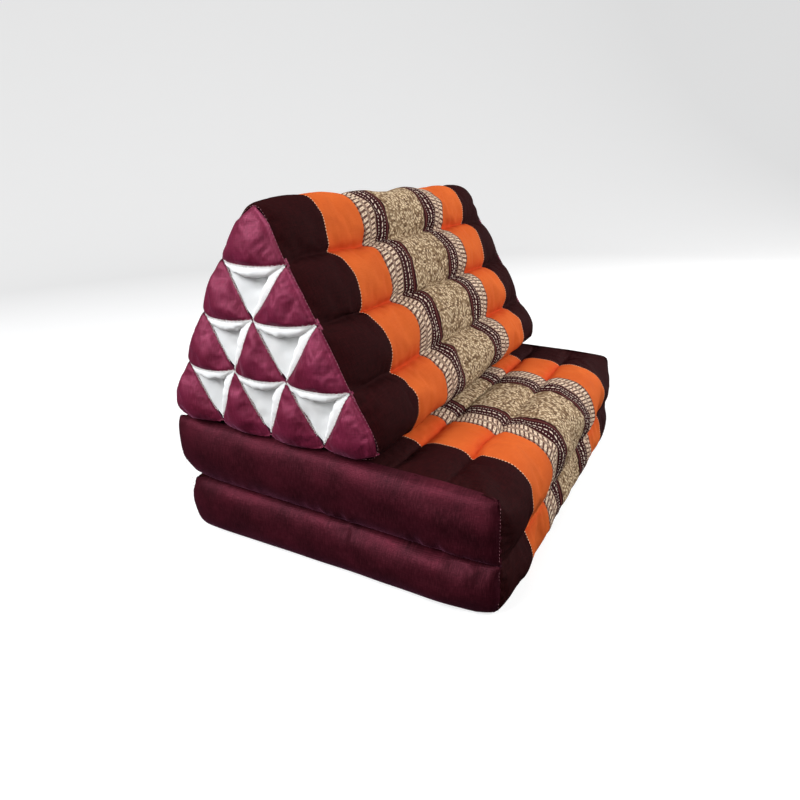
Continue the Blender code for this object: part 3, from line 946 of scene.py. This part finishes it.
def pad_shift(weights, row, column, corners):
    """How a pad bulges in its plane: its rim follows the end seam, and it dips over a white cell."""
    rim = [k for k, there in enumerate((row == CELLS, column == row, column == 1)) if there]
    moved = np.zeros((len(weights), 2))
    if rim:
        feet, fades = [], []
        for side in rim:
            on_side = weights.copy()
            on_side[:, side] = 0
            on_side /= np.maximum(on_side.sum(axis=1), 1e-6)[:, None]
            feet.append(on_side @ corners)
            fades.append(np.clip(1 - weights[:, side] / 0.4, 0, 1))
        moved = pulled(END_SEAM, feet, fades)
        for side in rim:
            # The pad's cloth rolls over the cover's edge, less along the seam in front
            a, b = corners[(side + 1) % 3], corners[(side + 2) % 3]
            beyond = facing(unit_normal(a, b), a - corners[side])
            over = 0.0006 if side == 1 else 0.0020
            moved += beyond * (over * np.clip(1 - weights[:, side] / 0.15, 0, 1))[:, None]
    if row < CELLS:
        base = unit_normal(corners[2], corners[1])
        moved += base * (dip(weights[:, 2]) * np.clip(1 - weights[:, 0] / 0.5, 0, 1))[:, None]
    if column > 1:
        beside = facing(unit_normal(corners[1], corners[0]), corners[2] - corners[0])
        s = weights[:, 1] / np.maximum(weights[:, 0] + weights[:, 1], 1e-6)
        moved += beside * (side_dip(s) * np.clip(1 - weights[:, 2] / 0.5, 0, 1))[:, None]
    return moved


def end_pads(side_name, side):
    """The ten maroon triangles of one end as one mesh, each with a skirt tucked in round it."""
    weights, faces = triangle_grid(30)
    on_rim = weights.min(axis=1) < 1e-6
    verts, all_faces, uvs, sewn = [], [], [], []
    for row in range(1, CELLS + 1):
        for column in range(row):
            corners = [NODES[row - 1, column], NODES[row, column], NODES[row, column + 1]]
            corners = np.array(corners)
            middle = corners.mean(axis=0)
            place = weights @ corners + pad_shift(weights, row, column + 1, corners)
            height = pad_height(weights, row, column + 1)
            # Gathers along the front seam, lumps elsewhere
            seed = 100 + row * 10 + column
            at_front = np.exp(-weights[:, 1] * CELL_HEIGHT / 0.012)
            if column + 1 < row:
                at_front = at_front * 0.35
            gather = ripple(place @ np.array([[0.9, 0.1], [0.1, 0.9]]), seed, 0.0085) * 0.0011
            lump = ripple(place, seed + 50, 0.030) * 0.0009
            edge = weights.min(axis=1) * CELL_HEIGHT
            height = height + (gather * at_front + lump) * smooth(edge / 0.006)
            start = len(verts)
            x = REST_WIDTH / 2 + end_out(place) + height
            verts += [(side * a, b, c) for a, b, c in zip(x, place[:, 0], place[:, 1])]
            uvs += [(p[0] * side, p[1]) for p in place]
            sewn += list(np.where(on_rim, 1.0, 0.0))
            ring = [int(k) for k in np.nonzero(on_rim)[0]]
            ring.sort(key=lambda k: math.atan2(*(weights @ corners - middle)[k][::-1]))
            skirt = len(verts)
            for k in ring:
                away = (place[k] - middle) * 0.006
                tucked = x[k] - height[k] - 0.004
                verts.append((side * tucked, place[k][0] + away[0], place[k][1] + away[1]))
                uvs.append((place[k][0] * side, place[k][1] + 0.01))
                sewn.append(1.0)
            turn = [tuple(start + i for i in f) for f in faces]
            all_faces += [f if side > 0 else f[::-1] for f in turn]
            for i in range(len(ring)):
                j = (i + 1) % len(ring)
                quad = (start + ring[i], skirt + i, skirt + j, start + ring[j])
                all_faces.append(quad if side > 0 else quad[::-1])
    piece = new_piece(f"{side_name}_pads", verts, all_faces, np.array(uvs), maroon)
    puff_later(piece, np.array(sewn), 2.4, 0.018, 0.0020)
    names = [f"{side_name}_pad_r{r}_{c + 1}" for r in range(1, CELLS + 1) for c in range(r)]
    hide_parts(*names)
    return piece


def floor_depth(share):
    """How deep a white floor lies, by its weight towards the front top corner."""
    return FLOOR_EDGE + FLOOR_SINK * share**0.75


def white_rolls(back, front, bottom, row, column):
    """(s, path, inward, level, low, width) of the rolls on a white cell's top and front sides."""
    s = ROLL_SHARES
    centre = (back + front + bottom) / 3
    found = []
    for which, (a, b) in enumerate(((back, front), (front, bottom))):
        inward = facing(unit_normal(a, b), centre - a)
        path = a + (b - a) * s[:, None]
        if which == 0:
            path = path + inward * dip(s)[:, None]
            shares = np.stack([0 * s, 1 - s, s], axis=1)
            level = pad_height(shares, row - 1, column + 1)
            width = TOP_ROLL * np.sin(math.pi * s**0.75) ** 0.7 * (0.50 + 0.50 * s)
            low = -floor_depth(s)
        else:
            path = path - inward * side_dip(s)[:, None]
            shares = np.stack([1 - s, s, 0 * s], axis=1)
            level = pad_height(shares, row, column + 2)
            width = SIDE_ROLL * np.sin(math.pi * s**0.62) ** 0.7 * (1.0 - 0.30 * s)
            low = -floor_depth(1 - s)
        found.append((s, path, inward, level, low, width))
    return found


def white_corners():
    """Row, column and the three corners of each white triangle."""
    for row in range(2, CELLS + 1):
        for column in range(row - 1):
            back, front = NODES[row - 1, column], NODES[row - 1, column + 1]
            yield row, column, back, front, NODES[row, column + 1]


def white_cells(side_name, side):
    """The six white triangles of one end: a sunken floor and a roll along two of its sides."""
    verts, faces, uvs, thin = [], [], [], []

    def put(points, heights, place_uv, grid, painted_shade):
        start = len(verts)
        for p, h in zip(points, heights + REST_WIDTH / 2 + end_out(points)):
            verts.append((side * h, p[0], p[1]))
        uvs.extend((float(a) * side, float(b)) for a, b in place_uv)
        for f in grid:
            f = tuple(start + i for i in f)
            faces.append(f if side > 0 else f[::-1])
            thin.append(painted_shade)

    weights, grid = triangle_grid(24)
    turns = 14
    turn = np.linspace(0, math.acos(-1 / 3), turns + 1)
    # A lip with a flat top and a steep inner side
    drop = np.sign(np.cos(turn)) * np.abs(np.cos(turn)) ** 0.65
    under = -drop[-1]
    for row, column, back, front, bottom in white_corners():
        seed = 300 + row * 10 + column
        centre = (back + front + bottom) / 3
        place = weights @ np.array([back, front, bottom])
        spread = 0.03 - 0.10 * smooth((weights.max(axis=1) - 0.7) / 0.3)
        place = place + (place - centre) * spread[:, None]
        sink = np.clip(weights[:, 1], 0, 1)
        floor = -floor_depth(sink)
        # Folds that run from the deep corner across the floor
        for k, (slope, depth) in enumerate(((0.45, 0.0009), (1.5, 0.0007))):
            fold = weights[:, 0] - weights[:, 2] * slope + 0.03 * ripple(place, seed + k, 0.03)
            floor = floor - depth * np.exp(-((fold / 0.07) ** 2)) * smooth(sink / 0.5)
        floor = floor + ripple(place, seed, 0.022) * 0.0006
        # The floor takes the greyer copy of the white cotton, as painted shade for its sunken place
        put(place, floor, place, grid, 1)
        for which, (s, path, inward, level, low, width) in enumerate(
            white_rolls(back, front, bottom, row, column)
        ):
            crumple = 1 + 0.07 * ripple(s[:, None], seed + 10 + which, 0.22)
            width = np.maximum(width, 0.0006) * crumple
            pivot = low + (level - low) * under / (1 + under)
            d = width[:, None] * np.sin(turn)[None, :]
            fat = np.sin(math.pi * s) ** 0.7 * crumple
            crest = ROLL_CREST * np.sin(2 * np.minimum(turn, math.pi / 2))
            heights = pivot[:, None] + (level - pivot)[:, None] * drop[None, :] + fat[:, None] * crest
            points = path[:, None, :] + inward[None, None, :] * (d - 0.0004)[:, :, None]
            ripples = ripple(np.stack([s[:, None] + 0 * d, turn[None, :] * 0.1 + 0 * d], -1), seed, 0.10)
            heights = heights + ripples * 0.0005 * np.sin(turn)[None, :]
            wrap = np.stack([s[:, None] * 0.07 + 0 * d, turn[None, :] * 0.006 + 0 * d], axis=-1)
            rows = grid_faces(len(s), turns + 1, flip=True)
            put(points.reshape(-1, 2), heights.ravel(), wrap.reshape(-1, 2), rows, 0)
    piece = new_piece(f"{side_name}_whites", verts, faces, np.array(uvs), white)
    # Faces marked 1 take the greyer cotton: painted shade on the floors, while the rolls stay white
    piece.data.materials.append(shaded_white)
    piece.data.polygons.foreach_set("material_index", np.array(thin, dtype=np.int32))
    names = [f"{side_name}_liner_r{r}_{c + 1}" for r in range(2, CELLS + 1) for c in range(r - 1)]
    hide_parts(*names)
    return piece


pads = {name: end_pads(name, side) for name, side in SIDES}
whites = {name: white_cells(name, side) for name, side in SIDES}

# Side panels of the mats


def side_panel(name, node, side, section, bottom, top, back, seed, bulge, crease_side):
    """A boxed side panel, puffed out, fuller near its front by bulge.

    crease_side is -1 where the crease between the panels is below it, or 1 where it is above.
    """
    across, up = 96, 26
    u = np.linspace(-1, 1, across + 1)
    w = np.linspace(-1, 1, up + 1)
    w = np.sin(w * math.pi / 2) * 0.35 + w * 0.65
    uu, ww = np.meshgrid(u, w, indexing="ij")

    def at(u, w):
        y = MAT_FRONT + (back - MAT_FRONT) * (u + 1) / 2
        return np.stack([y, bottom(y) + (top(y) - bottom(y)) * (w + 1) / 2], axis=-1).reshape(-1, 2)

    outline, _, _ = section(False)
    feet = [at(np.sign(uu + 1e-9), ww), at(uu, np.sign(ww + 1e-9))]
    fades = [np.clip(1 - (1 - np.abs(uu)) / 0.10, 0, 1), np.clip(1 - (1 - np.abs(ww)) / 0.6, 0, 1)]
    place = at(uu, ww) + pulled(outline, feet, [f.ravel() for f in fades])
    y, z = place[:, 0].reshape(uu.shape), place[:, 1].reshape(uu.shape)
    crown = np.clip(1 - np.abs(uu) ** 9, 0, 1) ** 0.5 * np.clip(1 - np.abs(ww) ** 2.4, 0, 1) ** 0.60
    place = np.stack([y, z], axis=-1)
    inside = smooth((1 - np.abs(ww)) / 0.25) * smooth((1 - np.abs(uu)) / 0.04)
    lump = ripple(place, seed, (0.090, 0.035)) * 0.0007
    # Short folds from the seams between the two panels, most of them in the front half
    pleat = ripple(np.stack([y, z * 0.18], axis=-1), seed + 1, 0.018) * 0.0034
    nearness = 1 - np.abs(ww - crease_side) / 2
    edge = smooth((nearness - 0.55) / 0.45) * smooth(0.6 + ripple(y[..., None], seed + 2, 0.12))
    edge = edge * (0.30 + 0.70 * smooth((0.6 - uu) / 0.9))
    full = PANEL_CROWN * (1 + bulge * np.exp(-(((uu + 0.62) / 0.30) ** 2)))
    x = MAT_WIDTH / 2 + 0.0006 + full * crown + (lump + pleat * edge) * inside
    # A skirt tucked in behind the mat's edge
    wide = [np.pad(a, 1, mode="edge") for a in (x, y, z, uu, ww)]
    border = np.ones_like(wide[0])
    border[1:-1, 1:-1] = 0
    x, y, z = wide[0] - 0.0035 * border, wide[1], wide[2]
    y = y + 0.0012 * border * np.sign(wide[3]) * (np.abs(wide[3]) > 0.999)
    z = z + 0.0007 * border * np.sign(wide[4]) * (np.abs(wide[4]) > 0.999)
    points = np.stack([side * x, y, z], axis=-1)
    piece = new_piece(
        name,
        points.reshape(-1, 3),
        grid_faces(across + 3, up + 3, flip=side < 0),
        np.stack([y * side, z + border * 0.003], axis=-1).reshape(-1, 2),
        shade_darkened_satin,
    )
    held = np.where((np.abs(wide[3]) > 0.999) | (np.abs(wide[4]) > 0.999), 1.0, 0.0)
    puff_later(piece, held.ravel(), 1.6, 0.035, 0.0035)
    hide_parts(node)
    return piece


def seat_bottom(y):
    return fold_plane(y) + 0.0006


def fold_bottom(y):
    return 0.0003 + 0 * y


def fold_top(y):
    return fold_plane(y) - 0.0006


fold_back = MAT_BACK - FOLD_SETBACK
panels = []
for name, side in SIDES:
    for mat, *shape in (
        ("seat", seat_section, seat_bottom, seat_end_top, MAT_BACK, 61, 0.04, -1),
        ("fold", fold_section, fold_bottom, fold_top, fold_back, 71, 0.22, 1),
    ):
        panels.append(side_panel(f"{mat}_panel_{name}", f"{mat}_mat_side_{name}", side, *shape))

puff_all()
for piece, limits in covers:
    points = coordinates(piece)
    low, high = limits(points[:, 1])
    points[:, 2] = np.clip(points[:, 2], low, high)
    set_coordinates(piece, points)
    finer = piece.modifiers.new("finer", "SUBSURF")
    finer.levels = finer.render_levels = 1
for piece in panels:
    points = coordinates(piece)
    points[:, 2] = np.maximum(points[:, 2], 0.0002)
    set_coordinates(piece, points)

# Sewing and cloth hinges, laid on the finished surfaces


def surface(pieces):
    """A tree for finding where a ray meets these pieces."""
    verts, faces = [], []
    for piece in pieces:
        start = len(verts)
        verts += [v.co.copy() for v in piece.data.vertices]
        faces += [tuple(start + i for i in f.vertices) for f in piece.data.polygons]
    return BVHTree.FromPolygons(verts, faces)


def stitches(name, spans, radius, material):
    """Short stitches as one mesh: each span is its two ends and the way it stands off the cloth."""
    sides = 5
    shares = np.array([0.0, 0.18, 0.5, 0.82, 1.0])
    sizes = np.array([0.25, 0.9, 1.0, 0.9, 0.25])
    angle = np.arange(sides) * 2 * math.pi / sides
    verts, faces, uvs = [], [], []
    for a, b, out in spans:
        a, b, out = (np.array(c, float) for c in (a, b, out))
        way = (b - a) / np.linalg.norm(b - a)
        beside = np.cross(way, out)
        beside /= np.linalg.norm(beside)
        over = np.cross(beside, way)
        start = len(verts)
        for share, size in zip(shares, sizes):
            centre = a + (b - a) * share + over * radius * (0.4 + 0.9 * math.sin(math.pi * share))
            for turn in angle:
                spread = beside * math.cos(turn) + over * math.sin(turn)
                verts.append(centre + spread * radius * size)
                uvs.append((share * 0.003, turn * radius))
        last = len(shares) - 1
        for r in range(last):
            for c in range(sides):
                d = (c + 1) % sides
                low, high = start + r * sides, start + (r + 1) * sides
                faces.append((low + c, low + d, high + d, high + c))
        faces.append(tuple(start + c for c in reversed(range(sides))))
        faces.append(tuple(start + last * sides + c for c in range(sides)))
    return new_piece(name, verts, faces, np.array(uvs), material)


def seam_points(path, pitch):
    """Points and directions evenly along a path of (n, k) points."""
    along = lengths_along(path)
    count = int(along[-1] / pitch)
    where = (np.arange(count) + 0.5) * along[-1] / count
    ways = interpolated(where + 0.001, along, path) - interpolated(where - 0.001, along, path)
    return interpolated(where, along, path), unit_rows(ways)


def white_seams(side_name, side):
    """Zigzag stitches that join each white triangle to the three maroon ones round it."""
    tree = surface([pads[side_name], whites[side_name]])
    rng = np.random.default_rng(500)
    spans = []
    for row, column, back, front, bottom in white_corners():
        rolls = white_rolls(back, front, bottom, row, column)
        paths = [rolls[0][1], rolls[1][1], back + (bottom - back) * ROLL_SHARES[:, None]]
        for path, reach in zip(paths, (0.0013, 0.0012, 0.0007)):
            points, ways = seam_points(path, 0.0023)
            for i, (point, way) in enumerate(zip(points, ways)):
                over = np.array([way[1], -way[0]])
                slant = way * 0.0007 * (1 if i % 2 else -1)
                off = over * reach * rng.uniform(0.85, 1.15)
                ends = []
                for end in (point + off + slant, point - off - slant):
                    origin = Vector((side * 0.32, end[0], end[1]))
                    hit = tree.ray_cast(origin, Vector((-side, 0.0, 0.0)))[0]
                    if hit is not None:
                        ends.append(hit)
                if len(ends) == 2 and (ends[0] - ends[1]).length < 0.006:
                    spans.append((*ends, (side, 0.0, 0.0)))
    return stitches(f"{side_name}_zigzag", spans, 0.00038, white_thread)


def running_seam(path, outwards):
    """Dashes of thread along a seam, a little off it along outwards."""
    points, ways = seam_points(path, STITCH_PITCH)
    share, whole = np.linspace(0, 1, len(points)), np.linspace(0, 1, len(path))
    off = unit_rows(interpolated(share, whole, outwards))
    spans = []
    for point, way, out in zip(points, ways, off):
        middle = point + out * 0.0006
        half = way * STITCH_LENGTH / 2
        spans.append((middle - half, middle + half, out))
    return spans


def end_seam_spans(side):
    """Dashes round the backrest's end seam."""
    _, normal = outline_frame(END_SEAM)
    outline, normal = (np.concatenate([rows, rows[:1]]) for rows in (END_SEAM, normal))
    x = side * (REST_WIDTH / 2 + end_out(outline))[:, None]
    path = np.concatenate([x, outline], axis=1)
    out = np.concatenate([np.full((len(outline), 1), side * 1.0), normal], axis=1)
    return running_seam(path, out)


def panel_seam_spans(side):
    """Dashes down the panels' front and back corner seams."""
    spans = []
    for y, way in ((MAT_FRONT + 0.0004, -1.0), (MAT_BACK - 0.0004, 1.0)):
        for low, high in (
            (fold_plane(y) + 0.005, fold_plane(y) + 0.066),
            (0.006, fold_plane(y) - 0.005),
        ):
            place = y if low > 0.01 or y < 0 else y - FOLD_SETBACK
            path = np.array([[side * (MAT_WIDTH / 2 + 0.0001), place, z] for z in (low, high)])
            out = np.array([[side * 1.0, way, 0.0]] * 2)
            spans += running_seam(path, out)
    return spans


for name, side in SIDES:
    white_seams(name, side)
    spans = end_seam_spans(side) + panel_seam_spans(side)
    stitches(f"{name}_running", spans, 0.00026, pink_thread)


def hinge(name, node, plane, way, reach):
    """A strip of the same cloth in the groove between two bodies, its edges on both of them.

    Rays along way, -1 or 1 in Y, find the two surfaces reach above and below plane.
    """
    tree = surface([c[0] for c in covers])
    x = np.linspace(-HINGE_LENGTH / 2, HINGE_LENGTH / 2, 97)
    turn = np.linspace(-1, 1, 9)
    points = []
    for a in x:
        edges = []
        for z in (plane - reach, plane + reach):
            origin = Vector((a, -way * HINGE_RAY_START, z))
            hit = tree.ray_cast(origin, Vector((0.0, way, 0.0)))[0]
            edges.append(hit.y + way * 0.0006)
        for t in turn:
            y = edges[0] + (edges[1] - edges[0]) * (t + 1) / 2
            points.append((a, y + way * 0.0012 * (1 - t * t), plane + t * reach))
    points = np.array(points)
    uv = np.stack([points[:, 0], points[:, 2] - plane + 0.3], axis=-1)
    faces = grid_faces(len(x), len(turn), flip=way < 0)
    piece = new_piece(name, points, faces, uv, banded)
    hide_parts(node)


front_plane, back_plane = fold_plane(MAT_FRONT), rest_plane(BACK_HINGE_Y)
hinge("front_hinge_cloth", "front_hinge", front_plane, 1, FRONT_HINGE_REACH)
hinge("back_hinge_cloth", "back_hinge", back_plane, -1, BACK_HINGE_REACH)

# Studio


def area_light(name, place, power, colour=(1.0, 1.0, 1.0)):
    """A soft light that points at the cushion."""
    light = bpy.data.lights.new(name, "AREA")
    light.energy = power
    light.size = 1.2
    light.color = colour
    lamp = bpy.data.objects.new(name, light)
    lamp.location = place
    towards = Vector((0.0, 0.0, 0.2)) - Vector(place)
    lamp.rotation_euler = towards.to_track_quat("-Z", "Y").to_euler()
    scene.collection.objects.link(lamp)


area_light("right", (1.6, -1.8, 1.2), 82.0)
area_light("left", (-1.8, 1.0, 1.9), 70.0, (0.95, 0.97, 1.0))
area_light("camera_side", (-1.9, -0.9, 1.1), 22.0)
area_light("above", (0.0, 0.2, 2.6), 14.0)

# The pale floor's light, from nearly none at the horizon to the most straight below
world = bpy.data.worlds.new("studio")
world.use_nodes = True
sky = world.node_tree
direction = sky.nodes.new("ShaderNodeTexCoord")
parts = sky.nodes.new("ShaderNodeSeparateXYZ")
strength = sky.nodes.new("ShaderNodeMapRange")
sky.links.new(direction.outputs["Generated"], parts.inputs[0])
sky.links.new(parts.outputs["Z"], strength.inputs["Value"])
for socket, value in (("From Min", 0.0), ("From Max", -1.0), ("To Min", 0.02), ("To Max", 0.26)):
    strength.inputs[socket].default_value = value
sky.links.new(strength.outputs["Result"], sky.nodes["Background"].inputs["Strength"])
scene.world = world
scene.view_settings.view_transform = "Standard"

# Round studio floor that curves up into a wall on all sides
floor_radius, bend, wall, segments = 2.6, 1.4, 5.0, 96
profile = [(1.0, 0.0)]
for bend_angle in np.linspace(0, math.pi / 2, 17):
    profile.append((floor_radius + bend * math.sin(bend_angle), bend * (1 - math.cos(bend_angle))))
profile.append((floor_radius + bend, wall))
turns = [2 * math.pi * i / segments for i in range(segments)]
bm = bmesh.new()
rings = []
for radius, level in profile:
    rings.append([bm.verts.new((radius * math.cos(t), radius * math.sin(t), level)) for t in turns])
bm.faces.new(rings[0])
for inner_ring, outer_ring in zip(rings, rings[1:]):
    for i in range(segments):
        j = (i + 1) % segments
        bm.faces.new((inner_ring[i], outer_ring[i], outer_ring[j], inner_ring[j]))
floor_mesh = bpy.data.meshes.new("floor")
bm.to_mesh(floor_mesh)
bm.free()
floor_mesh.shade_smooth()
floor = bpy.data.objects.new("floor", floor_mesh)
scene.collection.objects.link(floor)
floor.visible_diffuse = False
floor.visible_glossy = False
floor.visible_shadow = False
paper = Nodes("paper")
paper_colour = paper.mix(paper.noise(None, 60.0), (0.50, 0.50, 0.50), (0.52, 0.52, 0.52))
glow = {"Specular IOR Level": 0.0, "Emission Color": (1.0, 1.0, 1.0, 1.0), "Emission Strength": 0.60}
paper.coat(paper_colour, 0.9, glow)
floor_mesh.materials.append(paper.material)

# Camera at the photo's place
camera_data = bpy.data.cameras.new("camera")
camera_data.lens = FOCAL_PIXELS / PICTURE_PIXELS * SENSOR_WIDTH
camera = bpy.data.objects.new("camera", camera_data)
axes = Matrix([Vector(axis) for axis in camera_axes()]).transposed().to_4x4()
camera.matrix_world = Matrix.Translation(CAMERA_PLACE) @ axes
scene.collection.objects.link(camera)
scene.camera = camera
